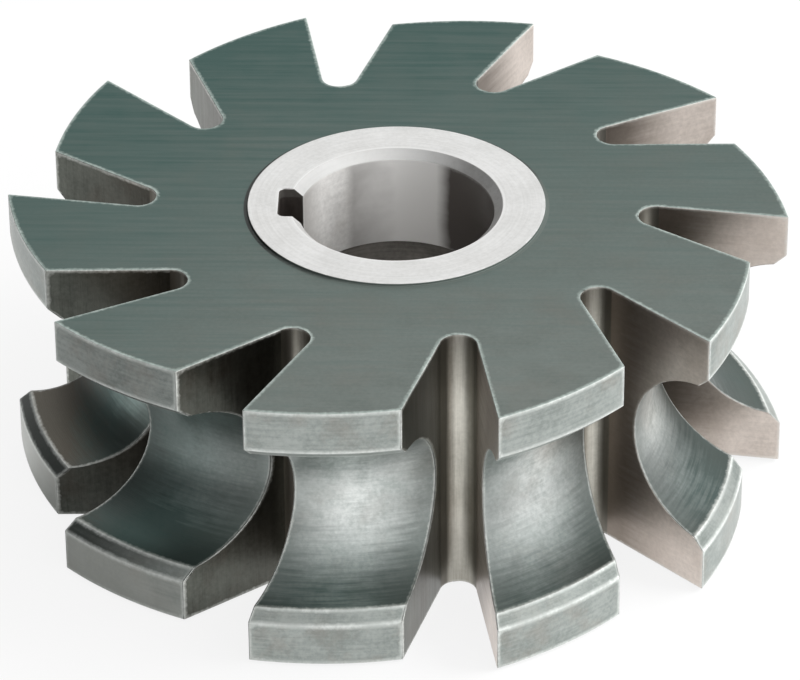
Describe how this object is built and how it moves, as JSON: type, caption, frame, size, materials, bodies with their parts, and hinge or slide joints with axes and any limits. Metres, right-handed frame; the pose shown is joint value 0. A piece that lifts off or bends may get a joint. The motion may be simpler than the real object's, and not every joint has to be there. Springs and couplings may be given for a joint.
{
  "type": "radius milling cutter",
  "caption": "Disc-shaped milling cutter whose relieved teeth carry a half-round groove round the rim, with chip gullets between them and a keyed arbor bore.",
  "frame": {"origin": "centre of the lower hub face, on the axis of the bore", "axes": "+Z along the bore, -X through the middle of the keyway; seen from above the teeth point clockwise"},
  "size_m": [0.1078, 0.104, 0.0413],
  "materials": {
    "tool_steel": "high-speed steel with a thin grey-green heat tint, ground bright on the hub rings, the bore and the cutting edges"
  },
  "bodies": {
    "root": {"cutter_body": "tool_steel"}
  },
  "joints": []
}
